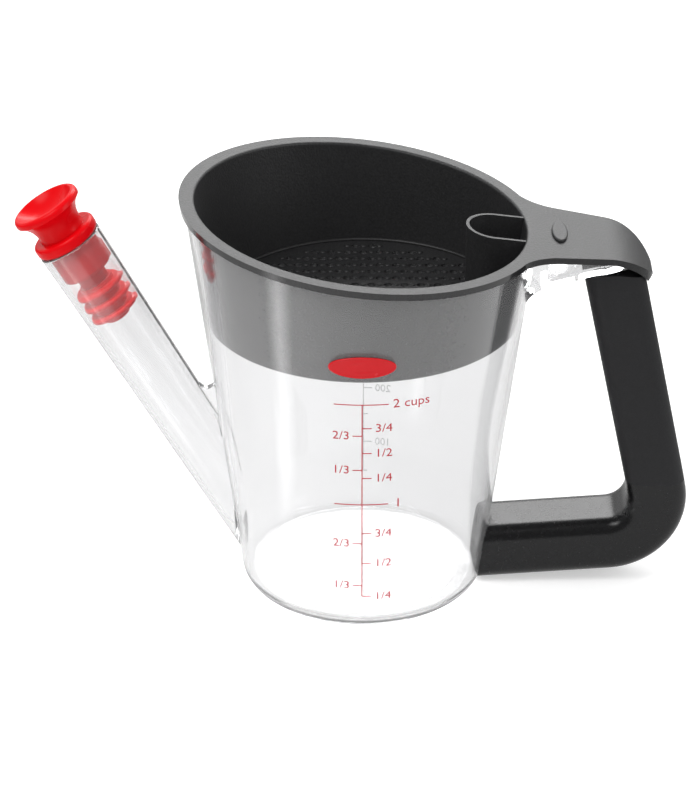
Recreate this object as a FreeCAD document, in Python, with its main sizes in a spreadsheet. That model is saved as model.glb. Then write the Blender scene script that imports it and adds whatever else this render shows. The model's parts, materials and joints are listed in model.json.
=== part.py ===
import FreeCAD, Part
import math
import os
import re
import Sketcher

# Gravy fat separator: a clear measuring cup with a low slanting spout and a stopper, a lift-off
# strainer with a thumb tab and a vent channel, and a black handle. Millimetres, +Z up.
# The origin is the centre of the foot, on the table. The spout points to -X, the handle to +X.

doc = FreeCAD.newDocument("fat_separator")

# Driving dimensions
SIZES = [
    # Clear cup
    ("foot_radius", 38.35),        # outer cone's radius at the table
    ("cup_flare", 0.125),          # growth of the cup's radius per mm of height
    ("cup_wall", 1.6),
    ("floor_thick", 2.4),
    ("foot_round", 5.0),           # outer rounding of the foot
    ("floor_round", 3.2),          # inner rounding of the floor
    ("foot_ring", 8.35),           # width of the ring that the cup stands on, with its rounding
    ("recess_depth", 0.5),         # hollow under the floor
    ("ridge_rise", 0.5),           # the hollow's two faces rise to a ridge along X
    # Slanting rim
    ("rim_height", 126.7),         # strainer's top face over the origin
    ("rim_tilt", 6.48),            # degrees, high on the spout side
    ("flange_thick", 2.2),
    ("flange_overhang", 1.3),      # past the cup's outer face
    ("seat_gap", 0.1),             # strainer's flange over the cup's edge
    ("rim_round", 0.8),            # rounding of the strainer's inner upper edge
    # Strainer
    ("basket_depth", 33.4),        # from the rim's middle to the underside
    ("basket_gap", 0.31),          # to the cup's inner wall at the bottom
    ("basket_flare", 0.122),
    ("basket_wall", 1.3),
    ("basket_floor", 1.7),
    ("basket_round", 1.0),
    ("hole_diameter", 2.7),
    ("hole_pitch", 5.2),
    ("row_pitch", 4.7),
    ("hole_margin", 4.2),          # from the floor's edge to the nearest hole's centre
    ("channel_depth", 16.6),       # from the strainer's lower edge in to the vent channel's nose
    ("channel_width", 18.0),
    ("channel_wall", 1.0),
    # Thumb tab
    ("tab_thick", 2.0),
    ("tab_reach", 21.17),          # from the cup's edge to the rounded end's centre
    ("tab_end_half", 15.3),        # half width there
    ("tab_taper", 10.1),           # degrees, widening towards the rim on each side
    ("neck_round", 17.0),
    ("tab_run", 21.4),             # from the cup's edge to the curl, along the rim's plane
    ("curl_radius", 18.5),
    ("curl_turn", 56.0),           # degrees
    ("pad_out", 7.17),             # from the cup's edge to the raised pad's centre
    ("pad_length", 5.0),           # along the tab
    ("pad_width", 14.0),
    ("pad_rise", 0.9),
    # Spout
    ("spout_root", 31.15),         # height where its axis meets the cup's outer face
    ("mouth_drop", 10.28),         # mouth's centre under the rim's middle
    ("spout_lean", 29.47),         # degrees from upright
    ("mouth_radius", 10.33),
    ("spout_wall", 1.75),
    ("spout_taper", 0.0125),       # loss of radius per mm down the tube
    ("spout_tail", 20.94),         # axis's end under spout_root, inside the cup, whose wall ends the tube
    ("port_top", 17.5),            # the bore opens into the cup below this height
    ("lip_round", 0.5),
    ("web_rise", 8.89),            # web's top and foot over and under the spout's join with the cup
    ("web_sink", 6.11),
    ("web_thick", 3.0),
    ("web_dip", 1.2),              # hollow of the web's top edge
    ("web_round", 2.6),
    ("web_reach", 40.0),
    # Handle
    ("grip_thick", 18.4),          # in the plane of the handle
    ("grip_width", 22.6),
    ("grip_round", 5.0),
    ("grip_lean", 12.27),          # degrees from upright
    ("grip_out", 6.49),            # from the curl's centre to the grip's axis, level
    ("seam_height", 37.0),
    ("grip_dome", 31.0),           # radius of the grip's top about an axis on Y
    ("dome_out", 4.57),            # that axis from the curl's centre
    ("dome_drop", 20.08),
    ("arm_sink", 2.85),            # start of the lower arm's axis, inside the foot's radius
    ("arm_height", 10.18),
    ("arm_rise", 4.54),            # degrees
    ("bend_radius", 16.5),
    ("bridge_width", 20.0),
    ("bridge_wall", 2.2),
    ("bridge_drop", 21.88),        # underside at the cup's edge, under the rim's middle
    ("bridge_slope", 15.5),        # degrees the underside rises towards the grip
    ("bridge_arch", 9.0),          # rounding where the underside meets the cup
    ("bridge_bite", 1.5),          # depth the arch is cut into the cup's wall line
    ("bridge_depth", 34.7),        # lowest point of the bridge under the rim's middle
    ("bridge_past", 11.27),        # from the curl's centre to the bridge's end
    ("pocket_out", 3.07),          # from the cup's edge to the bridge's hollow
    ("tab_gap", 0.3),              # bridge under the tab
    ("post_thick", 8.0),
    ("post_width", 12.0),
    ("post_depth", 8.0),           # into the elbow
    ("lug_length", 12.5),
    ("post_gap", 0.1),
    # Stopper, measured along the spout from its lip
    ("collar_gap", 0.1),
    ("collar_radius", 10.4),
    ("collar_top", 4.0),
    ("collar_round", 1.2),
    ("waist_radius", 7.3),
    ("waist_height", 5.6),
    ("waist_curve", 8.2),          # hollow curve from the collar to the dish
    ("dish_radius", 11.0),
    ("dish_top", 14.6),
    ("dish_round", 1.3),
    ("dish_lip", 1.6),             # from the outer edge to the dish's hollow
    ("dish_depth", 4.2),
    ("plug_gap", 0.48),            # to the spout's bore at the lip
    ("plug_depth", 11.0),
    ("plug_round", 1.5),
    ("neck_radius", 4.7),
    ("stem_radius", 3.2),
    ("seal_fit", 0.1),             # seal round the stem
    ("seal_top", 15.0),
    ("seal_foot", 27.4),
    ("rib_gap", 0.63),             # to the spout's bore at the lip, so that the last rib clears it lower down
    ("rib_first", 17.2),           # middle of the first rib
    ("rib_pitch", 4.3),
    ("rib_thick", 1.9),
    ("seal_core", 5.6),
    ("tip_radius", 4.3),
    ("tip_round", 0.8),
    ("tip_depth", 29.0),
]

# Places and sizes that follow from them, in the order that they need each other
PLACES = [
    ("recess_radius", "foot_radius - foot_ring"),
    # X where the cup's outer cone meets the rim's plane, under the tab
    ("rim_reach", "(foot_radius + cup_flare * rim_height) / (1 + cup_flare * tan(rim_tilt))"),
    ("basket_bottom", "rim_height - basket_depth"),
    ("basket_radius", "foot_radius + cup_flare * basket_bottom - cup_wall - basket_gap"),
    ("channel_nose", "basket_radius - channel_depth"),
    ("tab_end", "rim_reach + tab_reach"),
    ("pad_place", "rim_reach + pad_out"),
    ("curl_start", "rim_reach / cos(rim_tilt) + tab_run"),
    ("curl_centre", "curl_start * cos(rim_tilt) - curl_radius * sin(rim_tilt)"),
    ("curl_height", "rim_height - curl_start * sin(rim_tilt) - curl_radius * cos(rim_tilt)"),
    ("mouth_height", "rim_height - mouth_drop"),
    ("mouth_place", "-(foot_radius + cup_flare * spout_root) - (mouth_height - spout_root) * tan(spout_lean)"),
    ("spout_length", "(mouth_height - spout_root + spout_tail) / cos(spout_lean)"),
    ("spout_bore", "mouth_radius - spout_wall"),
    ("spout_join", "spout_root + mouth_radius / cos(spout_lean) / (tan(spout_lean) - cup_flare)"),
    ("web_top", "spout_join + web_rise"),
    ("web_foot", "spout_join - web_sink"),
    ("seam_place", "curl_centre + grip_out + (curl_height - seam_height) * tan(grip_lean)"),
    ("dome_place", "curl_centre + dome_out"),
    ("dome_height", "curl_height - dome_drop"),
    ("arm_place", "foot_radius - arm_sink"),
    ("bridge_low", "rim_height - bridge_drop"),
    ("bridge_root", "rim_height - bridge_depth"),
    ("bridge_end", "curl_centre + bridge_past"),
    ("pocket_place", "rim_reach + pocket_out"),
    ("plug_radius", "spout_bore - plug_gap"),
    ("rib_radius", "spout_bore - rib_gap"),
]
RIB_COUNT = 3
BIG = 150.0                        # reach of the cutting solids, past everything else

sheet = doc.addObject("Spreadsheet::Sheet", "Sizes")
for row, (alias, value) in enumerate(SIZES, start=1):
    sheet.set("A%d" % row, alias)
    sheet.set("B%d" % row, str(value))
    sheet.setAlias("B%d" % row, alias)
places = doc.addObject("App::VarSet", "Places")
PLACE_NAMES = [name for name, _ in PLACES]


def bound(formula):
    """A formula in the names of sizes and places, as the document writes it."""
    def owner(name):
        return ("Places." if name.group(0) in PLACE_NAMES else "Sizes.") + name.group(0)

    return re.sub(r"[a-z]+(?:_[a-z]+)+", owner, formula)


for name, formula in PLACES:
    places.addProperty("App::PropertyFloat", name, "Places")
    places.setExpression(name, bound(formula))
doc.recompute()
VALUE = {alias: float(sheet.get(alias)) for alias, _ in SIZES}
VALUE.update({name: getattr(places, name) for name in PLACE_NAMES})


def bind(thing, **formulas):
    """Bind properties to the sheet; a dot in a name is written as two underscores."""
    for name, formula in formulas.items():
        thing.setExpression(name.replace("__", "."), bound(formula))
    return thing


def place(thing, x="0", y="0", z="0", turn=None, axis=(0, 1, 0)):
    """Bind a placement: a point, and a turn in degrees about an axis through it."""
    if turn is not None:
        thing.Placement = FreeCAD.Placement(FreeCAD.Vector(), FreeCAD.Rotation(FreeCAD.Vector(*axis), 1))
        bind(thing, Placement__Rotation__Angle=turn)
    return bind(thing, Placement__Base__x=x, Placement__Base__y=y, Placement__Base__z=z)


def cone(name, low, high, height, **where):
    """A cone frustum on +Z."""
    solid = doc.addObject("Part::Cone", name)
    bind(solid, Radius1=low, Radius2=high, Height=height)
    return place(solid, **where)


def cylinder(name, radius, height, **where):
    solid = doc.addObject("Part::Cylinder", name)
    bind(solid, Radius=radius, Height=height)
    return place(solid, **where)


def box(name, length, width, height, **where):
    solid = doc.addObject("Part::Box", name)
    bind(solid, Length=length, Width=width, Height=height)
    return place(solid, **where)


def cut(name, base, *tools):
    """Base less each tool in turn."""
    for number, tool in enumerate(tools):
        last = number == len(tools) - 1
        result = doc.addObject("Part::Cut", name if last else "%s_%d" % (name, number))
        result.Base = base
        result.Tool = tool
        base = result
    return base


def joined(name, *shapes):
    result = doc.addObject("Part::MultiFuse", name)
    result.Shapes = list(shapes)
    result.Refine = True
    return result


def shared(name, *shapes):
    result = doc.addObject("Part::MultiCommon", name)
    result.Shapes = list(shapes)
    return result


def edges_where(shape, test):
    """Numbers of the edges whose middle passes the test."""
    found = []
    for number, edge in enumerate(shape.Edges, start=1):
        middle = edge.valueAt((edge.FirstParameter + edge.LastParameter) / 2)
        if test(edge, middle):
            found.append(number)
    return found


def rounded(name, base, radius, test):
    """Base with the edges that pass the test rounded."""
    doc.recompute()
    result = doc.addObject("Part::Fillet", name)
    result.Base = base
    result.Edges = [(number, radius, radius) for number in edges_where(base.Shape, test)]
    return result


def origin_plane(body, role):
    return next(feature for feature in body.Origin.OriginFeatures if feature.Role == role)


def new_sketch(body, role, name):
    sketch = body.newObject("Sketcher::SketchObject", name)
    sketch.AttachmentSupport = [(origin_plane(body, role), "")]
    sketch.MapMode = "FlatFace"
    return sketch


def fix_point(sketch, geometry, end, x, y):
    """Tie a point of the sketch to formulas in the sheet."""
    for kind, formula in (("DistanceX", x), ("DistanceY", y)):
        number = sketch.addConstraint(Sketcher.Constraint(kind, -1, 1, geometry, end, 1.0))
        sketch.setExpression("Constraints[%d]" % number, bound(formula))


def outline(body, role, name, corners):
    """A closed outline of straight edges through corners given as formulas."""
    sketch = new_sketch(body, role, name)
    count = len(corners)
    for number in range(count):
        here = FreeCAD.Vector(number, number * number, 0)
        after = (number + 1) % count
        there = FreeCAD.Vector(after, after * after, 0)
        sketch.addGeometry(Part.LineSegment(here, there), False)
    for number in range(count):
        sketch.addConstraint(Sketcher.Constraint("Coincident", number, 2, (number + 1) % count, 1))
    for number, (x, y) in enumerate(corners):
        fix_point(sketch, number, 1, x, y)
    return sketch


def padded(body, sketch, length, both=False):
    feature = body.newObject("PartDesign::Pad", "Pad")
    feature.Profile = sketch
    feature.Midplane = both
    bind(feature, Length=length)
    return feature


def new_body(name, **where):
    return place(doc.addObject("PartDesign::Body", name), **where)


# Shared solids that the pieces are cut with
def above_rim(name, drop):
    """Everything above the rim's slanting plane, lowered by drop."""
    return cylinder(name, "%g" % BIG, "%g" % BIG, z="rim_height - (%s)" % drop, turn="rim_tilt")


CONE_TOP = "rim_height + foot_radius"


def cup_cone(name, grow="0"):
    """The cup's outer cone, grown outwards, from the table to past the rim."""
    return cone(
        name,
        "foot_radius + %s" % grow,
        "foot_radius + cup_flare * (%s) + %s" % (CONE_TOP, grow),
        CONE_TOP,
    )


def spout_place():
    return dict(x="mouth_place", z="mouth_height", turn="-spout_lean")


def down_spout(name, radius, past_lip, length):
    """A tapering rod on the spout's axis, from past_lip above the lip to length below it."""
    return cone(
        name,
        "(%s) - spout_taper * (%s)" % (radius, length),
        "(%s) + spout_taper * (%s)" % (radius, past_lip),
        "(%s) + (%s)" % (length, past_lip),
        x="mouth_place + sin(spout_lean) * (%s)" % length,
        z="mouth_height - cos(spout_lean) * (%s)" % length,
        turn="-spout_lean",
    )


def near(value, target, slack=0.05):
    return abs(value - target) < slack


# Clear cup
def make_cup():
    def at_height(height):
        return lambda edge, middle: near(middle.z, height) and edge.Length > VALUE["mouth_radius"]

    outer = rounded("cup_outer", cup_cone("cup_outer_cone"), VALUE["foot_round"], at_height(0))
    inner_cone = cone(
        "cup_inner_cone",
        "foot_radius + cup_flare * floor_thick - cup_wall",
        "foot_radius + cup_flare * (%s) - cup_wall" % CONE_TOP,
        "%s - floor_thick" % CONE_TOP,
        z="floor_thick",
    )
    inner = rounded("cup_inner", inner_cone, VALUE["floor_round"], at_height(VALUE["floor_thick"]))
    hollow = new_body("foot_hollow")
    ridge = outline(hollow, "YZ_Plane", "ridge", [
        ("-recess_radius", "-1"),
        ("recess_radius", "-1"),
        ("recess_radius", "recess_depth"),
        ("0", "recess_depth + ridge_rise"),
        ("-recess_radius", "recess_depth"),
    ])
    padded(hollow, ridge, "2 * recess_radius", both=True)
    hollow_disc = cylinder("foot_hollow_disc", "recess_radius", "recess_depth + ridge_rise + 1", z="-1")
    recess = shared("foot_recess", hollow, hollow_disc)
    port_rod = down_spout("port_rod", "spout_bore", "0", "spout_length")
    port_zone = box("port_zone", "2 * foot_radius", "2 * foot_radius", "port_top - floor_thick",
                    x="-2 * foot_radius", y="-foot_radius", z="floor_thick")
    port = shared("port", port_rod, port_zone)
    over_edge = above_rim("over_cup", "flange_thick / cos(rim_tilt) + seat_gap")
    return cut("cup_shell", outer, inner, recess, over_edge, port)


# Slanting spout, whose bore meets the port
def make_spout():
    tube = down_spout("spout_tube", "mouth_radius", "0", "spout_length")

    def at_lip(edge, middle):
        return edge.Length > VALUE["mouth_radius"] and near(edge.BoundBox.Center.z, VALUE["mouth_height"], 1)

    lip = rounded("spout_lip", tube, VALUE["lip_round"], at_lip)
    bore = down_spout("spout_bore", "spout_bore", "1", "spout_length + 1")
    return cut("pour_spout", lip, bore, doc.getObject("cup_outer"))


# Small gusset between the spout and the cup
def make_web():
    body = new_body("web_plate")
    plate = outline(body, "XZ_Plane", "web_edge", [
        ("-foot_radius - web_reach", "web_foot"),
        ("-foot_radius", "web_foot"),
        ("-foot_radius", "web_top"),
        ("-foot_radius - web_reach", "web_top"),
    ])
    padded(body, plate, "web_thick", both=True)
    dip = cylinder("web_dip_rod", "web_round", "2 * web_thick", x="-(foot_radius + cup_flare * web_top) - web_round",
                   y="web_thick", z="web_top + web_round - web_dip", turn="90", axis=(1, 0, 0))
    tube = down_spout("web_tube", "mouth_radius", "0", "spout_length")
    beside = box("web_side", "web_reach", "2 * web_thick", "spout_length",
                 x="mouth_place + sin(spout_lean) * spout_length", y="-web_thick",
                 z="mouth_height - cos(spout_lean) * spout_length", turn="-spout_lean")
    return cut("spout_web", shared("web_blank", body, beside), dip, tube, doc.getObject("cup_outer"))


# Handle: a clear bridge over the grip, a post down through it, a lug on the cup and a hard elbow
def on_grip(name, thick, width, low, high):
    """A block about the grip's axis, from low to high past the seam."""
    return box(
        name, thick, width, "(%s) - (%s)" % (high, low),
        x="seam_place - (%s) / 2 * cos(grip_lean) - (%s) * sin(grip_lean)" % (thick, low),
        y="-(%s) / 2" % width,
        z="seam_height - (%s) / 2 * sin(grip_lean) + (%s) * cos(grip_lean)" % (thick, low),
        turn="-grip_lean",
    )


def on_arm(name, thick, width, low, high):
    """A block about the lower arm's axis, from low to high past its start."""
    return box(
        name, "(%s) - (%s)" % (high, low), width, thick,
        x="arm_place + (%s) * cos(arm_rise) + (%s) / 2 * sin(arm_rise)" % (low, thick),
        y="-(%s) / 2" % width,
        z="arm_height + (%s) * sin(arm_rise) - (%s) / 2 * cos(arm_rise)" % (low, thick),
        turn="-arm_rise",
    )


def rod_across(name, radius, x, z):
    """A cylinder on Y through a point of the middle plane."""
    return cylinder(name, radius, "4 * grip_width", x=x, y="-2 * grip_width", z=z, turn="-90", axis=(1, 0, 0))


def under_dome(name, grow):
    """Everything under the grip's rounded top, raised by grow."""
    dome = rod_across(name + "_rod", "grip_dome + (%s)" % grow, "dome_place", "dome_height")
    below = box(name + "_block", "2 * grip_dome", "4 * grip_width", "dome_height",
                x="dome_place - grip_dome", y="-2 * grip_width")
    return joined(name, dome, below)


def under_bridge(name, lift):
    """Everything under the bridge and outside the cup's wall line, raised by lift."""
    body = new_body(name)
    wall = "foot_radius - bridge_bite"
    low = "(bridge_low + (%s))" % lift
    past = "(bridge_end + grip_width)"
    slope = "tan(bridge_slope)"
    corner = "(%s + cup_flare * (%s - rim_reach * %s)) / (1 - cup_flare * %s)" % (wall, low, slope, slope)
    profile = outline(body, "XZ_Plane", name + "_edge", [
        ("%s + cup_flare * bridge_root / 2" % wall, "bridge_root / 2"),
        (past, "bridge_root / 2"),
        (past, "%s + (%s - rim_reach) * %s" % (low, past, slope)),
        (corner, "%s + (%s - rim_reach) * %s" % (low, corner, slope)),
    ])
    padded(body, profile, "2 * grip_width", both=True)
    return body


def over_curl():
    """Everything past the tab's curl that the handle keeps clear of."""
    rod = rod_across("curl_rod", "curl_radius - tab_thick - tab_gap", "curl_centre", "curl_height")
    zone = box("curl_zone", "curl_radius * 2", "4 * grip_width", "curl_radius * 2",
               x="curl_centre", y="-2 * grip_width", z="curl_height")
    return cut("over_curl", zone, rod)


def make_bridge(curl_room):
    block = box("bridge_block", "bridge_end - foot_radius", "bridge_width", "rim_height - bridge_root",
                x="foot_radius", y="-bridge_width / 2", z="bridge_root")

    def is_arch(edge, middle):
        upper = middle.z > VALUE["bridge_root"] and middle.x < VALUE["rim_reach"]
        return upper and near(middle.y, 0) and edge.BoundBox.YLength > VALUE["bridge_width"]

    arch = rounded("bridge_under", under_bridge("bridge_under_blank", "0"), VALUE["bridge_arch"], is_arch)
    pocket_box = box("pocket_box", "bridge_end - bridge_wall - pocket_place", "bridge_width - 2 * bridge_wall",
                     "rim_height - bridge_root", x="pocket_place", y="bridge_wall - bridge_width / 2", z="bridge_root")
    pocket = cut("bridge_pocket", pocket_box, under_bridge("pocket_floor", "bridge_wall"),
                 under_dome("pocket_dome", "bridge_wall"))
    return cut("handle_bridge", block, doc.getObject("cup_outer"), arch, doc.getObject("grip_zone"), curl_room,
               above_rim("over_bridge", "(tab_thick + tab_gap) / cos(rim_tilt)"), pocket)


def make_handle():
    zone = under_dome("grip_zone", "0")
    curl_room = over_curl()
    bridge = make_bridge(curl_room)

    blank = on_grip("grip_blank", "grip_thick", "grip_width", "-post_depth", "rim_height")
    bar = rounded("grip_bar", blank, VALUE["grip_round"], lambda edge, middle: edge.Length > VALUE["rim_height"] / 2)
    below_seam = box("below_seam", "2 * seam_place", "4 * grip_width", "seam_height", y="-2 * grip_width")
    room = on_grip("post_room", "post_thick + 2 * post_gap", "post_width + 2 * post_gap", "-post_depth - post_gap",
                   "rim_height")
    nose_room = cylinder("nose_room", "tab_end_half * cos(tab_taper) + tab_gap", "2 * rim_height", x="tab_end")
    grip = cut("grip_sleeve", shared("grip_under", bar, under_dome("grip_ceiling", "-post_gap")), below_seam, room,
               shared("tab_room", curl_room, nose_room))

    post_bar = on_grip("post_bar", "post_thick", "post_width", "-post_depth", "rim_height")
    post = shared("handle_post", post_bar, zone)

    pipe = doc.addObject("Part::Feature", "elbow_pipe")
    pipe.Shape = elbow_shape()
    place(pipe, x="arm_place", z="arm_height", turn="-arm_rise")
    above_seam = box("above_seam", "2 * seam_place", "4 * grip_width", "seam_height",
                     y="-2 * grip_width", z="seam_height")
    lug_room = on_arm("lug_room", "post_thick + 2 * post_gap", "post_width + 2 * post_gap", "0",
                      "lug_length + post_gap")
    elbow = cut("elbow_cover", pipe, doc.getObject("cup_outer"), above_seam, room, lug_room)
    lug_bar = on_arm("lug_bar", "post_thick", "post_width", "0", "lug_length")
    lug = cut("lower_lug", lug_bar, doc.getObject("cup_outer"))
    return bridge, grip, post, elbow, lug


def rounded_section():
    """The handle's section across +X: a rectangle with rounded corners."""
    half_wide = VALUE["grip_width"] / 2
    half_high = VALUE["grip_thick"] / 2
    radius = VALUE["grip_round"]
    corners = [(1, 1, 0), (-1, 1, 90), (-1, -1, 180), (1, -1, 270)]
    points = []
    for across, up, start in corners:
        centre = FreeCAD.Vector(0, across * (half_wide - radius), up * (half_high - radius))
        turns = [math.radians(start + step) for step in (0, 45, 90)]
        points.append([centre + FreeCAD.Vector(0, math.cos(turn), math.sin(turn)) * radius for turn in turns])
    edges = []
    for number, arc in enumerate(points):
        edges.append(Part.Arc(*arc).toShape())
        edges.append(Part.makeLine(arc[2], points[(number + 1) % len(points)][0]))
    return Part.Wire(edges)


def elbow_shape():
    """The bent bar from the cup to past the seam, its lower arm along +X."""
    rise = math.radians(VALUE["arm_rise"])
    lean = math.radians(VALUE["grip_lean"])
    radius = VALUE["bend_radius"]
    turn = math.radians(90) - rise + lean
    drop = VALUE["seam_height"] - VALUE["arm_height"] + VALUE["arm_place"] * math.tan(rise)
    corner = (VALUE["seam_place"] + drop * math.tan(lean)) / (1 + math.tan(rise) * math.tan(lean))
    run = (corner - VALUE["arm_place"]) / math.cos(rise) - radius * math.tan(turn / 2)

    def on_bend(angle):
        return FreeCAD.Vector(run + radius * math.sin(angle), 0, radius - radius * math.cos(angle))

    bend_end = on_bend(turn)
    last = bend_end + FreeCAD.Vector(math.cos(turn), 0, math.sin(turn)) * VALUE["grip_thick"]
    spine = Part.Wire([
        Part.makeLine(FreeCAD.Vector(), on_bend(0)),
        Part.Arc(on_bend(0), on_bend(turn / 2), bend_end).toShape(),
        Part.makeLine(bend_end, last),
    ])
    return spine.makePipeShell([rounded_section()], True, False)


# Strainer: a tapering wall with a flange, a perforated floor, a vent channel and a thumb tab
def basket_cone(name, inset, start="0"):
    """The strainer's cone from start over its bottom to past the rim, drawn in by inset."""
    return cone(
        name,
        "basket_radius - (%s) + basket_flare * (%s)" % (inset, start),
        "basket_radius - (%s) + basket_flare * rim_height" % inset,
        "rim_height - (%s)" % start,
        z="basket_bottom + (%s)" % start,
    )


def channel_slot(name, inset):
    """A U-shaped column from the channel's nose out past the strainer's wall."""
    half = "(channel_width / 2 - (%s))" % inset
    nose = cylinder(name + "_nose", half, "2 * rim_height", x="channel_nose + channel_width / 2")
    side = box(name + "_side", "2 * channel_width", "2 * " + half, "2 * rim_height",
               x="channel_nose + channel_width / 2", y="-" + half)
    return joined(name, nose, side)


def perforations():
    """Rows of holes, offset by half a pitch, clear of the floor's edge and of the vent channel."""
    edge = VALUE["basket_radius"] - VALUE["basket_wall"] - VALUE["hole_margin"]
    pitch = VALUE["hole_pitch"]
    radius = VALUE["hole_diameter"] / 2
    rows = int(edge // VALUE["row_pitch"])
    columns = int(edge // pitch) + 1
    keep_off = VALUE["channel_width"] / 2 + VALUE["hole_diameter"]
    drills = []
    for row in range(-rows, rows + 1):
        y = row * VALUE["row_pitch"]
        for column in range(-columns, columns + 1):
            x = (column + 0.5 * (row % 2)) * pitch
            beside_channel = x > VALUE["channel_nose"] - VALUE["hole_diameter"] and abs(y) < keep_off
            if math.hypot(x, y) < edge and not beside_channel:
                foot = FreeCAD.Vector(x, y, VALUE["basket_bottom"] - 1)
                drills.append(Part.makeCylinder(radius, VALUE["basket_floor"] + 2, foot))
    return Part.makeCompound(drills)


def make_strainer():
    def at_bottom(edge, middle):
        return near(middle.z, VALUE["basket_bottom"]) and edge.Length > VALUE["mouth_radius"]

    def is_inner_edge(edge, middle):
        level = VALUE["rim_height"] - middle.x * math.tan(math.radians(VALUE["rim_tilt"]))
        inside = VALUE["mouth_radius"] < edge.BoundBox.YMax < VALUE["rim_reach"]
        return near(middle.z, level) and inside

    over = above_rim("over_strainer", "0")
    blank = rounded("basket_blank", basket_cone("basket_outer", "0"), VALUE["basket_round"], at_bottom)
    slab = cylinder("flange_slab", "%g" % BIG, "flange_thick", x="-flange_thick * sin(rim_tilt)",
                    z="rim_height - flange_thick * cos(rim_tilt)", turn="rim_tilt")
    flange = shared("flange_blank", cup_cone("flange_cone", "flange_overhang"), slab)
    wall = joined("basket_wall_blank", cut("basket_trimmed", blank, over), flange)
    hollow = cut("basket_hollow", wall, basket_cone("basket_inner", "basket_wall", "-1"))
    basket = rounded("strainer_basket", hollow, VALUE["rim_round"], is_inner_edge)

    drill = doc.addObject("Part::Feature", "hole_drill")
    drill.Shape = perforations()
    passage = channel_slot("channel_inner", "channel_wall")
    disc = cylinder("floor_disc", "2 * basket_radius", "basket_floor", z="basket_bottom")
    plate = shared("floor_blank", disc, basket_cone("floor_cone", "basket_wall", "-1"))
    floor = cut("strainer_floor", plate, drill, passage)

    inside = basket_cone("channel_cone", "basket_wall", "basket_floor")
    column = shared("channel_blank", channel_slot("channel_outer", "0"), inside)
    channel = cut("vent_channel", column, passage, over)
    return basket, floor, channel


# Thumb tab: leaves the flange in its plane and curls down over the grip
def in_rim_frame(thing):
    """Put a feature drawn about the rim plane's centre in place."""
    return place(thing, z="rim_height", turn="rim_tilt")


def tab_band():
    """The tab's side outline drawn across its width, level in the rim's plane."""
    start = VALUE["curl_start"]
    radius = VALUE["curl_radius"]
    turn = math.radians(VALUE["curl_turn"])
    thick = VALUE["tab_thick"]

    def on_curl(angle, depth):
        reach = radius - depth
        return FreeCAD.Vector(start + reach * math.sin(angle), -BIG / 2, reach * math.cos(angle) - radius)

    top = FreeCAD.Vector(0, -BIG / 2, 0)
    low = FreeCAD.Vector(0, -BIG / 2, -thick)
    edges = [
        Part.makeLine(top, on_curl(0, 0)),
        Part.Arc(on_curl(0, 0), on_curl(turn / 2, 0), on_curl(turn, 0)).toShape(),
        Part.makeLine(on_curl(turn, 0), on_curl(turn, thick)),
        Part.Arc(on_curl(turn, thick), on_curl(turn / 2, thick), on_curl(0, thick)).toShape(),
        Part.makeLine(on_curl(0, thick), low),
        Part.makeLine(low, top),
    ]
    return Part.Face(Part.Wire(edges)).extrude(FreeCAD.Vector(0, BIG, 0))


def pad_shape():
    """A raised oval, long across the tab, with a rounded edge, its foot in the rim's plane."""
    centre = FreeCAD.Vector(VALUE["pad_place"], 0, -1)
    across = centre + FreeCAD.Vector(0, VALUE["pad_width"] / 2, 0)
    along = centre + FreeCAD.Vector(VALUE["pad_length"] / 2, 0, 0)
    oval = Part.Wire(Part.Ellipse(across, along, centre).toShape())
    solid = Part.Face(oval).extrude(FreeCAD.Vector(0, 0, VALUE["pad_rise"] + 1))
    top = [edge for edge in solid.Edges if near(edge.BoundBox.ZMin, VALUE["pad_rise"])]
    return solid.makeFillet(VALUE["pad_rise"] * 0.6, top)


def make_tab():
    plan = new_body("tab_plan")
    hub_half = "tab_end_half + tab_end * tan(tab_taper)"
    nose_x = "tab_end + tab_end_half * cos(tab_taper) * sin(tab_taper)"
    nose_half = "tab_end_half * cos(tab_taper) * cos(tab_taper)"
    sides = outline(plan, "XY_Plane", "tab_sides", [
        ("0", "-(%s)" % hub_half),
        (nose_x, "-" + nose_half),
        (nose_x, nose_half),
        ("0", hub_half),
    ])
    padded(plan, sides, "2 * rim_height")
    nose = cylinder("tab_nose", "tab_end_half * cos(tab_taper)", "2 * rim_height", x="tab_end")
    hub = cylinder("tab_hub", "rim_reach + flange_overhang - seat_gap", "2 * rim_height")

    def is_neck(edge, middle):
        upright = near(edge.BoundBox.XLength, 0) and near(edge.BoundBox.YLength, 0)
        return upright and VALUE["foot_radius"] < middle.x < VALUE["pad_place"]

    blank = rounded("tab_outline", joined("tab_blank", plan, nose, hub), VALUE["neck_round"], is_neck)
    band = doc.addObject("Part::Feature", "tab_band")
    band.Shape = tab_band()
    sheet_part = shared("tab_curl", blank, in_rim_frame(band))
    oval = doc.addObject("Part::Feature", "tab_pad")
    oval.Shape = pad_shape()
    trimmed = cut("tab_trimmed", sheet_part, cup_cone("tab_trim", "flange_overhang"))
    return joined("thumb_tab", trimmed, in_rim_frame(oval))


# Stopper: a knob with a plug and a stem, and a ribbed seal on the stem
def turned(name, stretches):
    """A solid turned from a profile of (radius, height) points; a pair of points is an arc's middle and end."""
    here = FreeCAD.Vector(stretches[0][0], 0, stretches[0][1])
    edges = []
    for stretch in stretches[1:] + [stretches[0]]:
        points = [stretch] if isinstance(stretch[0], float) else stretch
        ends = [FreeCAD.Vector(radius, 0, height) for radius, height in points]
        if len(ends) == 2:
            edges.append(Part.Arc(here, *ends).toShape())
        else:
            edges.append(Part.makeLine(here, ends[0]))
        here = ends[-1]
    solid = Part.Face(Part.Wire(edges)).revolve(FreeCAD.Vector(), FreeCAD.Vector(0, 0, 1), 360)
    piece = doc.addObject("Part::Feature", name)
    piece.Shape = Part.Solid(solid) if solid.ShapeType == "Shell" else solid
    return place(piece, **spout_place())


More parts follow.
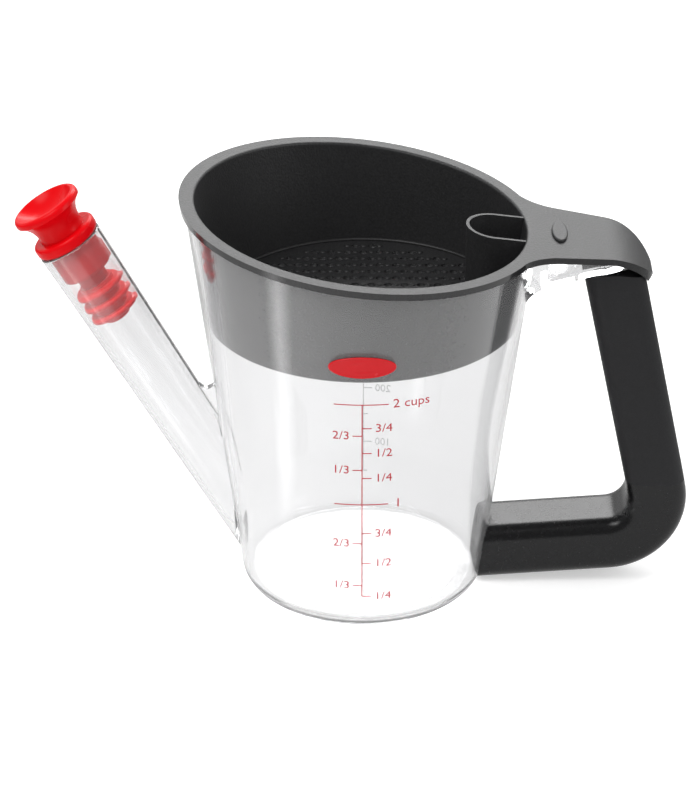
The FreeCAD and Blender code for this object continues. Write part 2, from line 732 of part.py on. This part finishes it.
def corner_arc(radius, height, size, out, up):
    """An arc's middle and end round a convex corner, from the corner's side to its end or back."""
    bow = size * (1 - math.sqrt(0.5))
    return (radius - bow, height - up * bow), (radius - (size if out else 0.0), height - up * (0.0 if out else size))


def make_stopper():
    value = VALUE
    tip = value["tip_radius"]
    tip_round = value["tip_round"]
    plug = value["plug_radius"]
    collar = value["collar_radius"]
    collar_round = value["collar_round"]
    dish = value["dish_radius"]
    dish_top = value["dish_top"]
    dish_edge = dish - value["dish_lip"]
    curve = value["waist_curve"]
    curve_middle = value["waist_radius"] + curve
    waist = value["waist_height"]

    def hollow(height):
        """Radius of the hollow curve between the collar and the dish."""
        return curve_middle - math.sqrt(curve ** 2 - (height - waist) ** 2)

    flare_top = waist + math.sqrt(curve ** 2 - (curve_middle - dish) ** 2)
    bowl = (dish_edge ** 2 + value["dish_depth"] ** 2) / (2 * value["dish_depth"])
    bowl_half = dish_edge / 2
    bowl_low = dish_top - value["dish_depth"]
    knob = turned("stopper_knob", [
        (0.0, -value["tip_depth"]),
        (tip - tip_round, -value["tip_depth"]),
        corner_arc(tip, -value["tip_depth"], tip_round, False, -1),
        (tip, -value["seal_foot"]),
        (value["stem_radius"], -value["seal_foot"]),
        (value["stem_radius"], -value["seal_top"]),
        (value["neck_radius"], -value["seal_top"]),
        (value["neck_radius"], -value["plug_depth"]),
        (plug - value["plug_round"], -value["plug_depth"]),
        corner_arc(plug, -value["plug_depth"], value["plug_round"], False, -1),
        (plug, value["collar_gap"]),
        (collar - collar_round, value["collar_gap"]),
        corner_arc(collar, value["collar_gap"], collar_round, False, -1),
        (collar, value["collar_top"] - collar_round),
        corner_arc(collar, value["collar_top"], collar_round, True, 1),
        (hollow(value["collar_top"]), value["collar_top"]),
        ((hollow(waist + curve / 3), waist + curve / 3), (dish, flare_top)),
        (dish, dish_top - value["dish_round"]),
        corner_arc(dish, dish_top, value["dish_round"], True, 1),
        (dish_edge, dish_top),
        ((bowl_half, bowl_low + bowl - math.sqrt(bowl ** 2 - bowl_half ** 2)), (0.0, bowl_low)),
    ])

    core = value["seal_core"]
    half = value["rib_thick"] / 2
    rib_foot = value["rib_radius"] - half
    eye = value["stem_radius"] + value["seal_fit"]
    profile = [(eye, -value["seal_foot"]), (core, -value["seal_foot"])]
    for rib in reversed(range(RIB_COUNT)):
        middle = -value["rib_first"] - rib * value["rib_pitch"]
        profile += [
            (core, middle - half),
            (rib_foot, middle - half),
            ((value["rib_radius"], middle), (rib_foot, middle + half)),
            (core, middle + half),
        ]
    profile += [(core, -value["seal_top"]), (eye, -value["seal_top"])]
    return knob, turned("stopper_seal", profile)


def hand_in(pieces):
    """Check every object and write each piece's STEP file."""
    doc.recompute()
    for thing in doc.Objects:
        bad = [state for state in thing.State if state in ("Invalid", "Error")]
        if bad:
            raise RuntimeError("%s is %s" % (thing.Name, bad))
    os.makedirs("parts", exist_ok=True)
    for node, thing in pieces.items():
        thing.Label = node
        shape = thing.Shape
        if shape.isNull() or not shape.isValid():
            raise RuntimeError("%s has no valid shape" % node)
        print("%-15s %d solid(s) %9.1f mm3" % (node, len(shape.Solids), shape.Volume))
        shape.exportStep("parts/%s.step" % node)


def main():
    cup = make_cup()
    spout = make_spout()
    web = make_web()
    bridge, grip, post, elbow, lug = make_handle()
    basket, floor, channel = make_strainer()
    tab = make_tab()
    knob, seal = make_stopper()
    hand_in({
        "cup_shell": cup,
        "pour_spout": spout,
        "spout_web": web,
        "handle_bridge": bridge,
        "handle_post": post,
        "lower_lug": lug,
        "grip_sleeve": grip,
        "elbow_cover": elbow,
        "strainer_basket": basket,
        "strainer_floor": floor,
        "vent_channel": channel,
        "thumb_tab": tab,
        "stopper_knob": knob,
        "stopper_seal": seal,
    })


main()
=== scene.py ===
"""The fat separator's looks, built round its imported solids. Metres, in the part's own frame."""

import json
import math

import bpy
from mathutils import Matrix, Vector


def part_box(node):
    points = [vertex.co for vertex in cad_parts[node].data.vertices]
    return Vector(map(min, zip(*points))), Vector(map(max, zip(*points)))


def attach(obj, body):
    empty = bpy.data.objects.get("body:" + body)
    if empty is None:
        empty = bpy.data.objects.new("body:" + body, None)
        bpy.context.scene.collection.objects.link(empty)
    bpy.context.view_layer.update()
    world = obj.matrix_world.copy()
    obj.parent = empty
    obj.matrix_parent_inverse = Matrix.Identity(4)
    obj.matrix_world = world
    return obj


MM = 0.001
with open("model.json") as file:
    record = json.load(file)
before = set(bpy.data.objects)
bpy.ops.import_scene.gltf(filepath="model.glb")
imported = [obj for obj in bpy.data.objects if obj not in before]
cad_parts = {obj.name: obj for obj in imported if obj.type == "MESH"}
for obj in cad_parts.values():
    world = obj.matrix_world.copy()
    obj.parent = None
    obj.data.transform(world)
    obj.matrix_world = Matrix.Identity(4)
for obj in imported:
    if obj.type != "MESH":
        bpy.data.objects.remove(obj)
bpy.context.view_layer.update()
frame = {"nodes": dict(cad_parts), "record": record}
nodes = frame["nodes"]

# The cup in mm, as the solids have it
FOOT_RADIUS = 38.35
FLARE = 0.125
CUP_WALL = 1.6
FLOOR_TOP = 2.4
INNER_RADIUS = FOOT_RADIUS - CUP_WALL
CUBIC_MM_PER_ML = 1000


def wall_radius(height):
    """The radius of the cup's outer wall at a height."""
    return FOOT_RADIUS + FLARE * height


def level_of(millilitres):
    """The height at which the cup's inner cone holds so many millilitres."""
    lowest = INNER_RADIUS + FLARE * FLOOR_TOP
    filled = (lowest ** 3 + 3 * FLARE * millilitres * CUBIC_MM_PER_ML / math.pi) ** (1 / 3)
    return (filled - INNER_RADIUS) / FLARE


# Shader nodes
# The colour sockets of a Mix node, which share their names with its other sockets
MIX_LOW = 6
MIX_HIGH = 7
MIX_RESULT = 2


def new_material(name, **values):
    """A node material whose principled shader has the given constants."""
    made = bpy.data.materials.new(name)
    made.use_nodes = True
    shader = made.node_tree.nodes["Principled BSDF"]
    for key, value in values.items():
        shader.inputs[key.replace("_", " ")].default_value = value
    return made, shader


def link(made, source, target):
    made.node_tree.links.new(source, target)


def add_node(made, kind, **values):
    """A new node with the given values, each for the socket or the setting of that name."""
    node = made.node_tree.nodes.new(kind)
    for key, value in values.items():
        if key in node.inputs:
            node.inputs[key].default_value = value
        else:
            setattr(node, key, value)
    return node


def noise(made, scale, detail=3.0):
    """Noise in the object's own metres."""
    place = add_node(made, "ShaderNodeTexCoord")
    made_noise = add_node(made, "ShaderNodeTexNoise", Scale=scale, Detail=detail)
    link(made, place.outputs["Object"], made_noise.inputs["Vector"])
    return made_noise.outputs["Fac"]


def between(made, value, start, end, low=0.0, high=1.0):
    """From low at start to high at end, and level past them."""
    ramp = add_node(made, "ShaderNodeMapRange", clamp=True)
    for name, number in (("From Min", start), ("From Max", end), ("To Min", low), ("To Max", high)):
        ramp.inputs[name].default_value = number
    link(made, value, ramp.inputs["Value"])
    return ramp.outputs["Result"]


def spread(made, factor, low, high):
    """A factor of 0 to 1 spread from low to high."""
    return between(made, factor, 0.0, 1.0, low, high)


def bump(made, shader, height, depth):
    """A surface raised by a height of 0 to 1, up to a depth in metres."""
    raised = add_node(made, "ShaderNodeBump", Distance=depth, Strength=1.0)
    link(made, height, raised.inputs["Height"])
    link(made, raised.outputs["Normal"], shader.inputs["Normal"])
    return raised


def tint(made, shader, factor, low, high):
    """The base colour, spread between two colours by a factor."""
    mix = add_node(made, "ShaderNodeMix", data_type="RGBA")
    mix.inputs[MIX_LOW].default_value = (*low, 1)
    mix.inputs[MIX_HIGH].default_value = (*high, 1)
    link(made, factor, mix.inputs["Factor"])
    link(made, mix.outputs[MIX_RESULT], shader.inputs["Base Color"])


def combine(made, operation, first, second=0.0):
    """A Math node on one or two values, each a socket or a number."""
    node = add_node(made, "ShaderNodeMath", operation=operation)
    for slot, value in zip(node.inputs, (first, second)):
        if isinstance(value, float):
            slot.default_value = value
        else:
            link(made, value, slot)
    return node.outputs[0]


def blended(made, factor, first, second):
    """First where the factor is 0, second where it is 1; each a socket or a number."""
    rest = combine(made, "SUBTRACT", 1.0, factor)
    first_share = combine(made, "MULTIPLY", rest, first)
    second_share = combine(made, "MULTIPLY", factor, second)
    return combine(made, "ADD", first_share, second_share)


def length_of(made, across, along):
    """How far a point with these two coordinates is from their origin."""
    squares = [combine(made, "MULTIPLY", value, value) for value in (across, along)]
    return combine(made, "SQRT", combine(made, "ADD", *squares))


def split(made, source):
    """The X, Y and Z of a vector."""
    parts = add_node(made, "ShaderNodeSeparateXYZ")
    link(made, source, parts.inputs[0])
    return parts.outputs


def ray_kinds(made):
    """Whether a ray comes from the camera, and whether it comes from gloss or clear plastic."""
    path = add_node(made, "ShaderNodeLightPath")
    second_hand = combine(made, "MAXIMUM", path.outputs["Is Glossy Ray"], path.outputs["Is Transmission Ray"])
    return path.outputs["Is Camera Ray"], second_hand


def facing_out(made):
    """1 on faces that look straight out from the cup's axis, and 0 on those that don't."""
    least_cosine = 0.85
    full_cosine = 0.95
    geometry = add_node(made, "ShaderNodeNewGeometry")
    flat = add_node(made, "ShaderNodeVectorMath", operation="MULTIPLY")
    flat.inputs[1].default_value = (1, 1, 0)
    link(made, geometry.outputs["Position"], flat.inputs[0])
    outwards = add_node(made, "ShaderNodeVectorMath", operation="NORMALIZE")
    link(made, flat.outputs[0], outwards.inputs[0])
    facing = add_node(made, "ShaderNodeVectorMath", operation="DOT_PRODUCT")
    link(made, outwards.outputs[0], facing.inputs[0])
    link(made, geometry.outputs["True Normal"], facing.inputs[1])
    return between(made, facing.outputs["Value"], least_cosine, full_cosine)


# Materials: grain is the scale of the noise, and depth is in metres
# The gloss changes over patches this many times as wide as the grain
GLOSS_PATCH = 4


def clear_plastic():
    """Polished clear plastic with the faint ripple of a moulding."""
    made, shader = new_material(
        "clear", Base_Color=(0.985, 0.985, 0.99, 1), Transmission_Weight=0.95, IOR=1.49
    )
    ripple = noise(made, scale=26.0, detail=1.0)
    link(made, spread(made, ripple, low=0.0, high=0.03), shader.inputs["Roughness"])
    bump(made, shader, ripple, depth=0.00025)
    return made


def textured(name, dark, light, grain, depth, rough, gloss=0.5):
    """A moulded plastic or rubber with a fine grain in its colour, gloss and surface."""
    made, shader = new_material(name, Specular_IOR_Level=gloss)
    fine = noise(made, grain)
    tint(made, shader, fine, dark, light)
    link(made, spread(made, noise(made, grain / GLOSS_PATCH), *rough), shader.inputs["Roughness"])
    bump(made, shader, fine, depth)
    return made


def strainer_plastic():
    """Near-black plastic: polished outside, where it shows through the cup, and grained elsewhere."""
    made, shader = new_material("strainer")
    fine = noise(made, scale=1500.0)
    tint(made, shader, fine, low=(0.006, 0.006, 0.0065), high=(0.03, 0.03, 0.031))
    outside = facing_out(made)
    link(made, spread(made, outside, low=0.48, high=0.1), shader.inputs["Roughness"])
    raised = bump(made, shader, fine, depth=0.00012)
    link(made, spread(made, outside, low=1.0, high=0.0), raised.inputs["Strength"])
    return made


looks = {
    "clear": clear_plastic(),
    "strainer": strainer_plastic(),
    "grip": textured(
        "grip", dark=(0.01, 0.01, 0.011), light=(0.016, 0.016, 0.018),
        grain=1800.0, depth=0.00006, rough=(0.55, 0.63), gloss=0.35,
    ),
    "elbow": textured(
        "elbow", dark=(0.006, 0.006, 0.0065), light=(0.01, 0.01, 0.0105),
        grain=1500.0, depth=0.00002, rough=(0.24, 0.3), gloss=0.35,
    ),
    "stopper": textured(
        "stopper", dark=(0.7, 0.001, 0.004), light=(0.76, 0.002, 0.006),
        grain=120.0, depth=0.00002, rough=(0.24, 0.3), gloss=0.1,
    ),
    "seal": textured(
        "seal", dark=(0.84, 0.003, 0.007), light=(0.9, 0.005, 0.01),
        grain=900.0, depth=0.00004, rough=(0.3, 0.38), gloss=0.2,
    ),
    "ink": textured(
        "ink", dark=(0.5, 0.012, 0.024), light=(0.58, 0.02, 0.034),
        grain=4000.0, depth=0.00001, rough=(0.4, 0.5),
    ),
    "frost": textured(
        "frost", dark=(0.62, 0.62, 0.62), light=(0.7, 0.7, 0.7),
        grain=4000.0, depth=0.00001, rough=(0.5, 0.6),
    ),
    "badge": textured(
        "badge", dark=(0.62, 0.004, 0.008), light=(0.68, 0.006, 0.012),
        grain=700.0, depth=0.00002, rough=(0.22, 0.3), gloss=0.3,
    ),
}
# Clear pieces throw no shadow, so that what is inside them is lit
for part in frame["record"]["subparts"]:
    thing = nodes[part["node"]]
    thing.data.materials.clear()
    thing.data.materials.append(looks[part["material_slot"]])
    thing.visible_shadow = part["material_slot"] != "clear"


# Meshes
def turns(count):
    """The angles that part a full turn into so many steps."""
    return [2 * math.pi * step / count for step in range(count)]


def closed_rings(start, rings, sides):
    """Faces of a closed skin over rings of points, each of so many sides, from the first point on."""
    faces = []
    for ring in range(rings - 1):
        low = start + ring * sides
        for side in range(sides):
            after = (side + 1) % sides
            faces.append([low + side, low + after, low + sides + after, low + sides + side])
    last = start + (rings - 1) * sides
    faces.append([start + side for side in reversed(range(sides))])
    faces.append([last + side for side in range(sides)])
    return faces


# Print on the cup, in mm
FRONT = -1
BACK = 1


def on_wall(across, height, lift, side):
    """A point on the cup's outer wall, so far across to the reader's right, on its front or back."""
    radius = wall_radius(height) + lift
    turn = across / radius
    return Vector((-side * radius * math.sin(turn), side * radius * math.cos(turn), height)) * MM


class Print:
    """Closed thin solids laid on the wall, gathered into one mesh."""

    LIFT = 0.04
    THICK = 0.05
    HALF_LINE = 0.17
    # A bar is cut into runs of about this length, and a letter's curve into this many steps
    RUN = 0.8
    CURVE_STEPS = 3

    def __init__(self, side):
        self.side = side
        self.points = []
        self.faces = []

    def add(self, points, faces):
        start = len(self.points)
        self.points += [on_wall(*point, self.side) for point in points]
        self.faces += [[start + corner for corner in face] for face in faces]

    def bar(self, left, right, low, high):
        """A straight bar, cut into short runs so that it follows the wall."""
        top = self.LIFT + self.THICK
        corners = ((low, top), (high, top), (high, self.LIFT), (low, self.LIFT))
        steps = max(1, round((right - left) / self.RUN))
        points = []
        for step in range(steps + 1):
            across = left + (right - left) * step / steps
            points += [(across, height, lift) for height, lift in corners]
        self.add(points, closed_rings(0, steps + 1, len(corners)))

    def mark(self, left, right, height):
        """A level line of the scale."""
        self.bar(left, right, height - self.HALF_LINE, height + self.HALF_LINE)

    def upright(self, low, high):
        """The upright line that the marks stand on."""
        self.bar(-self.HALF_LINE, self.HALF_LINE, low, high)

    def text(self, words, size, across, height, align):
        """Words whose middle is at a height."""
        curve = bpy.data.curves.new("words", "FONT")
        curve.body = words
        curve.size = size
        curve.align_x = align
        curve.align_y = "CENTER"
        curve.extrude = self.THICK / 2
        curve.resolution_u = self.CURVE_STEPS
        carrier = bpy.data.objects.new("words", curve)
        bpy.context.scene.collection.objects.link(carrier)
        depsgraph = bpy.context.evaluated_depsgraph_get()
        mesh = bpy.data.meshes.new_from_object(carrier.evaluated_get(depsgraph))
        lift = self.LIFT + self.THICK / 2
        points = [(across + v.co.x, height + v.co.y, lift + v.co.z) for v in mesh.vertices]
        self.add(points, [list(face.vertices) for face in mesh.polygons])
        bpy.data.objects.remove(carrier)
        bpy.data.curves.remove(curve)
        bpy.data.meshes.remove(mesh)

    def finish(self, name, look, body):
        mesh = bpy.data.meshes.new(name)
        mesh.from_pydata(self.points, [], self.faces)
        mesh.materials.append(looks[look])
        thing = bpy.data.objects.new(name, mesh)
        bpy.context.scene.collection.objects.link(thing)
        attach(thing, body)


# The cup scale's marks, as read from the photo: the height of each and its words
# A whole cup's mark also says where its words start
WHOLE_CUPS = ((86.2, "2 cups", 9.2), (49.1, "1", 10.0))
QUARTERS = ((13.4, "1/4"), (26.4, "1/2"), (38.0, "3/4"), (59.1, "1/4"), (68.4, "1/2"), (77.6, "3/4"))
THIRDS = ((17.7, "1/3"), (34.1, "2/3"), (62.1, "1/3"), (74.8, "2/3"))
WHOLE_LEFT = -8.5
WHOLE_RIGHT = 8.0
WHOLE_LETTER = 4.5
FRACTION_MARK = 2.9
FRACTION_LETTER = 4.2
QUARTER_WORDS = 3.9
THIRD_WORDS = -3.7


def print_cup_scale():
    cups = Print(FRONT)
    for height, words, start in WHOLE_CUPS:
        cups.mark(WHOLE_LEFT, WHOLE_RIGHT, height)
        cups.text(words, WHOLE_LETTER, start, height, "LEFT")
    for height, words in QUARTERS:
        cups.mark(0, FRACTION_MARK, height)
        cups.text(words, FRACTION_LETTER, QUARTER_WORDS, height, "LEFT")
    for height, words in THIRDS:
        cups.mark(-FRACTION_MARK, 0, height)
        cups.text(words, FRACTION_LETTER, THIRD_WORDS, height, "RIGHT")
    cups.upright(QUARTERS[0][0], WHOLE_CUPS[0][0])
    cups.finish("cup_scale", "ink", "cup")


# The millilitre scale on the back: a mark at each step, longer and with its number at each hundred
ML_STEP = 50
ML_NUMBERED = 100
ML_LAST = 500
ML_LONG_MARK = 3.0
ML_SHORT_MARK = 1.5
ML_LETTER = 3.6
ML_WORDS = -4.0
ML_UNIT_RISE = 5.0


def print_ml_scale():
    litres = Print(BACK)
    for amount in range(ML_STEP, ML_LAST + 1, ML_STEP):
        numbered = amount % ML_NUMBERED == 0
        litres.mark(-ML_LONG_MARK if numbered else -ML_SHORT_MARK, 0, level_of(amount))
        if numbered:
            litres.text("%d" % amount, ML_LETTER, ML_WORDS, level_of(amount), "RIGHT")
    litres.upright(level_of(ML_STEP), level_of(ML_LAST))
    litres.text("ml", ML_LETTER, ML_WORDS, level_of(ML_LAST) + ML_UNIT_RISE, "RIGHT")
    litres.finish("ml_scale", "frost", "cup")


# The bare oval badge over the strainer's band
BADGE_HEIGHT = 99.6
BADGE_HALF_WIDTH = 10.2
BADGE_HALF_HEIGHT = 3.7
BADGE_STEPS = 72
# Each ring's share of the outline, and its lift off the wall
BADGE_RINGS = ((1.0, 0.04), (1.0, 0.3), (0.97, 0.42), (0.93, 0.44), (0.9, 0.36), (0.86, 0.34), (0.5, 0.36))


def lay_badge():
    badge = Print(FRONT)
    points = []
    for share, lift in BADGE_RINGS:
        for turn in turns(BADGE_STEPS):
            across = BADGE_HALF_WIDTH * share * math.cos(turn)
            rise = BADGE_HALF_HEIGHT * share * math.sin(turn)
            points.append((across, BADGE_HEIGHT + rise, lift))
    badge.add(points, closed_rings(0, len(BADGE_RINGS), BADGE_STEPS))
    badge.finish("cup_badge", "badge", "cup")


print_cup_scale()
print_ml_scale()
lay_badge()

# The strainer's holes and vent channel in mm, as the solids have them
HOLE_PITCH = 5.2
ROW_PITCH = 4.7
HOLE_MARGIN = 4.2
CHANNEL_HALF = 9.0
floor_low, floor_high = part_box("strainer_floor")
plate_top = floor_high[2] / MM
plate_radius = (floor_high[1] - floor_low[1]) / 2 / MM
channel_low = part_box("vent_channel")[0]
channel_nose = channel_low[0] / MM
# Nubs between the holes, each a few rings: shares of its radius and of its rise
NUB_RADIUS = 0.95
NUB_RISE = 0.45
NUB_SIDES = 12
NUB_PROFILE = ((1.0, -0.1), (0.92, 0.35), (0.68, 0.75), (0.35, 0.95), (0.08, 1.0))
# The bead round the floor, and the angle between its end and the channel
BEAD = 0.55
BEAD_SIDES = 10
BEAD_STEPS = 120
BEAD_END_GAP = 0.01


def solid_piece(name, points, faces, look, body):
    """A smooth closed mesh from points in mm."""
    mesh = bpy.data.meshes.new(name)
    mesh.from_pydata([Vector(point) * MM for point in points], [], faces)
    mesh.polygons.foreach_set("use_smooth", [True] * len(mesh.polygons))
    mesh.materials.append(looks[look])
    thing = bpy.data.objects.new(name, mesh)
    bpy.context.scene.collection.objects.link(thing)
    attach(thing, body)


def nub_places():
    """Points midway between two holes of a row, clear of the floor's edge and of the vent channel."""
    edge = plate_radius - HOLE_MARGIN
    rows = int(edge // ROW_PITCH)
    columns = int(edge // HOLE_PITCH) + 1
    places = []
    for row in range(-rows, rows + 1):
        y = row * ROW_PITCH
        shift = (row % 2) / 2
        for column in range(-columns, columns + 1):
            x = (column + shift + 1 / 2) * HOLE_PITCH
            by_channel = x > channel_nose - NUB_RADIUS and abs(y) < CHANNEL_HALF + NUB_RADIUS
            if math.hypot(x, y) <= edge and not by_channel:
                places.append((x, y))
    return places


def nubs():
    """Low domes between the holes."""
    points = []
    faces = []
    for x, y in nub_places():
        faces += closed_rings(len(points), len(NUB_PROFILE), NUB_SIDES)
        for share, rise in NUB_PROFILE:
            for turn in turns(NUB_SIDES):
                across = NUB_RADIUS * share * math.cos(turn)
                along = NUB_RADIUS * share * math.sin(turn)
                points.append((x + across, y + along, plate_top + NUB_RISE * rise))
    solid_piece("strainer_nubs", points, faces, "strainer", "strainer")


def floor_bead():
    """A bead in the corner of the strainer's floor, from one side of the vent channel to the other."""
    radius = plate_radius - BEAD / 2
    first = math.asin(CHANNEL_HALF / radius) + BEAD_END_GAP
    points = []
    for step in range(BEAD_STEPS + 1):
        turn = first + (2 * math.pi - 2 * first) * step / BEAD_STEPS
        for round_turn in turns(BEAD_SIDES):
            reach = radius + BEAD * math.cos(round_turn)
            height = plate_top + BEAD / 2 + BEAD * math.sin(round_turn)
            points.append((reach * math.cos(turn), reach * math.sin(turn), height))
    faces = closed_rings(0, BEAD_STEPS + 1, BEAD_SIDES)
    solid_piece("strainer_bead", points, faces, "strainer", "strainer")


nubs()
floor_bead()

# The world is white to the camera. To gloss and clear plastic it is a white backdrop behind the cup in a
# darker room, and to all other rays an even grey.
EVEN_LIGHT = 0.55
ROOM_LIGHT = 0.16
# The backdrop's edges, in the direction's Y and Z
BACKDROP_SIDE = -0.25
BACKDROP_FULL = 0.35
BACKDROP_HIGH = 0.6
BACKDROP_TOP = 0.9


def light_world():
    world = bpy.data.worlds.new("studio")
    bpy.context.scene.world = world
    world.use_nodes = True
    backdrop = world.node_tree.nodes["Background"]
    backdrop.inputs["Color"].default_value = (1, 1, 1, 1)
    sky = split(world, add_node(world, "ShaderNodeTexCoord").outputs["Generated"])
    behind = between(world, sky["Y"], BACKDROP_SIDE, BACKDROP_FULL)
    under_top = between(world, sky["Z"], BACKDROP_HIGH, BACKDROP_TOP, low=1.0, high=0.0)
    room = spread(world, combine(world, "MULTIPLY", behind, under_top), ROOM_LIGHT, 1.0)
    direct, second_hand = ray_kinds(world)
    unseen = blended(world, second_hand, EVEN_LIGHT, room)
    link(world, blended(world, direct, unseen, 1.0), backdrop.inputs["Strength"])


# The floor, in metres. To gloss and clear plastic its white reaches this far round a point behind the cup.
TABLE_MIDDLE = 0.15
TABLE_NEAR = 0.42
TABLE_FAR = 0.75
SIDE_SCALE = 1.8
FLOOR_REACH = 6.0
# The share of light that it gives back, and what it gives out by itself
FLOOR_WHITE = 0.8
GLOSS_WHITE_NEAR = 0.2
GLOSS_WHITE_FAR = 0.06
CAMERA_GLOW = 0.45
GLOSS_GLOW = 0.64
# Pooled light grows from nothing to full over these distances from the cup's middle
POOL_START = 0.07
POOL_FULL = 0.11
# Each pool's bearing from the front and half its width, in radians, and its strength
POOLS = ((-0.7, 0.9, 0.5), (0.2, 1.0, 0.12), (-0.94, 0.16, 2.0))
# The foot's soft ring of shade on the table, as clear plastic shows it
FOOT_SHADE_RADIUS = 0.037
FOOT_SHADE_SOFT = 0.005
FOOT_SHADE = 0.3
# The shade within the ring, darker in front of a crease across the middle
INSIDE_FULL = 0.033
INSIDE_END = 0.036
CREASE_FRONT = -0.002
CREASE_BACK = 0.001
FRONT_SHADE = 0.34
BACK_SHADE = 0.06


def pooled_light(made, ground, from_middle):
    """Light pooled on the floor round the cup, and none close to it."""
    bearing = combine(made, "ARCTAN2", ground["X"], combine(made, "MULTIPLY", ground["Y"], -1.0))
    pools = 0.0
    for turn, half_width, strength in POOLS:
        off = combine(made, "ABSOLUTE", combine(made, "SUBTRACT", bearing, turn))
        pools = combine(made, "ADD", pools, between(made, off, 0.0, half_width, low=strength, high=0.0))
    return combine(made, "MULTIPLY", pools, between(made, from_middle, POOL_START, POOL_FULL))


def foot_shade(made, ground, from_middle):
    """The shade of the foot's ring and of the halves within it."""
    off_foot = combine(made, "ABSOLUTE", combine(made, "SUBTRACT", from_middle, FOOT_SHADE_RADIUS))
    ring = between(made, off_foot, 0.0, FOOT_SHADE_SOFT, low=FOOT_SHADE, high=0.0)
    halves = between(made, ground["Y"], CREASE_FRONT, CREASE_BACK, low=FRONT_SHADE, high=BACK_SHADE)
    inside = between(made, from_middle, INSIDE_FULL, INSIDE_END, low=1.0, high=0.0)
    return combine(made, "ADD", ring, combine(made, "MULTIPLY", halves, inside))


def floor_material():
    """A matte floor that glows, and that looks different to gloss and clear plastic than to the camera."""
    made = bpy.data.materials.new("floor")
    made.use_nodes = True
    tree = made.node_tree
    tree.nodes.remove(tree.nodes["Principled BSDF"])
    ground = split(made, add_node(made, "ShaderNodeTexCoord").outputs["Object"])
    aside = combine(made, "MULTIPLY", ground["X"], SIDE_SCALE)
    along = combine(made, "SUBTRACT", ground["Y"], TABLE_MIDDLE)
    far = between(made, length_of(made, aside, along), TABLE_NEAR, TABLE_FAR)
    from_middle = length_of(made, ground["X"], ground["Y"])
    direct, second_hand = ray_kinds(made)

    matte = add_node(made, "ShaderNodeBsdfDiffuse")
    gloss_white = spread(made, far, GLOSS_WHITE_NEAR, GLOSS_WHITE_FAR)
    link(made, blended(made, second_hand, FLOOR_WHITE, gloss_white), matte.inputs["Color"])

    glow = add_node(made, "ShaderNodeEmission", Color=(1, 1, 1, 1))
    pooled = combine(made, "ADD", GLOSS_GLOW, pooled_light(made, ground, from_middle))
    seen = combine(made, "MULTIPLY", second_hand, pooled)
    near = combine(made, "MULTIPLY", seen, combine(made, "SUBTRACT", 1.0, far))
    unshaded = combine(made, "SUBTRACT", 1.0, foot_shade(made, ground, from_middle))
    lit = combine(made, "MULTIPLY", near, unshaded)
    link(made, blended(made, direct, lit, CAMERA_GLOW), glow.inputs["Strength"])

    both = add_node(made, "ShaderNodeAddShader")
    link(made, matte.outputs[0], both.inputs[0])
    link(made, glow.outputs[0], both.inputs[1])
    link(made, both.outputs[0], tree.nodes["Material Output"].inputs["Surface"])
    return made


def lay_floor():
    signs = ((-1, -1), (1, -1), (1, 1), (-1, 1))
    corners = [(across * FLOOR_REACH, along * FLOOR_REACH, 0) for across, along in signs]
    mesh = bpy.data.meshes.new("floor")
    mesh.from_pydata(corners, [], [(0, 1, 2, 3)])
    mesh.materials.append(floor_material())
    floor = bpy.data.objects.new("floor", mesh)
    bpy.context.scene.collection.objects.link(floor)


def lamp(name, place, target, size, power):
    """A rectangular lamp that points at a target: metres and watts."""
    data = bpy.data.lights.new(name, "AREA")
    data.shape = "RECTANGLE"
    data.size, data.size_y = size
    data.energy = power
    thing = bpy.data.objects.new(name, data)
    bpy.context.scene.collection.objects.link(thing)
    thing.location = place
    thing.rotation_euler = (Vector(target) - Vector(place)).to_track_quat("-Z", "Y").to_euler()


light_world()
lay_floor()
lamp("key", place=(-0.5, -0.35, 0.95), target=(0, 0, 0.06), size=(0.6, 0.5), power=6.5)
lamp("side", place=(0.8, -0.3, 0.5), target=(0, 0, 0.08), size=(0.35, 0.7), power=2.6)
lamp("back", place=(0.1, 0.9, 0.7), target=(0, 0, 0.06), size=(0.9, 0.4), power=7.0)

# The camera where the photo was taken, from one fit of the foot, rim and marks: mm, and pixels of the photo
PITCH = math.radians(28.44)
YAW = math.radians(0.5)
DISTANCE = 977.0
FOCUS = 3000.0
ORIGIN_PIXEL = (362.4, 565.6)
MIDDLE_PIXEL = (350.0, 400.0)
PHOTO_HEIGHT = 800.0
SENSOR = 36.0
CLIP_START = 0.01


def place_camera():
    ahead = Vector((-math.sin(YAW) * math.cos(PITCH), math.cos(YAW) * math.cos(PITCH), -math.sin(PITCH)))
    right = Vector((math.cos(YAW), math.sin(YAW), 0))
    up = right.cross(ahead)
    shift_right = (ORIGIN_PIXEL[0] - MIDDLE_PIXEL[0]) * DISTANCE / FOCUS
    shift_down = (ORIGIN_PIXEL[1] - MIDDLE_PIXEL[1]) * DISTANCE / FOCUS
    eye = -(DISTANCE * ahead + shift_right * right - shift_down * up) * MM
    data = bpy.data.cameras.new("camera")
    data.sensor_width = SENSOR
    data.lens = FOCUS * SENSOR / PHOTO_HEIGHT
    data.clip_start = CLIP_START
    camera = bpy.data.objects.new("camera", data)
    bpy.context.scene.collection.objects.link(camera)
    turn = Matrix((right, up, -ahead)).transposed()
    camera.matrix_world = Matrix.Translation(eye) @ turn.to_4x4()
    bpy.context.scene.camera = camera


place_camera()
bpy.context.scene.view_settings.view_transform = "Standard"

bpy.context.view_layer.update()
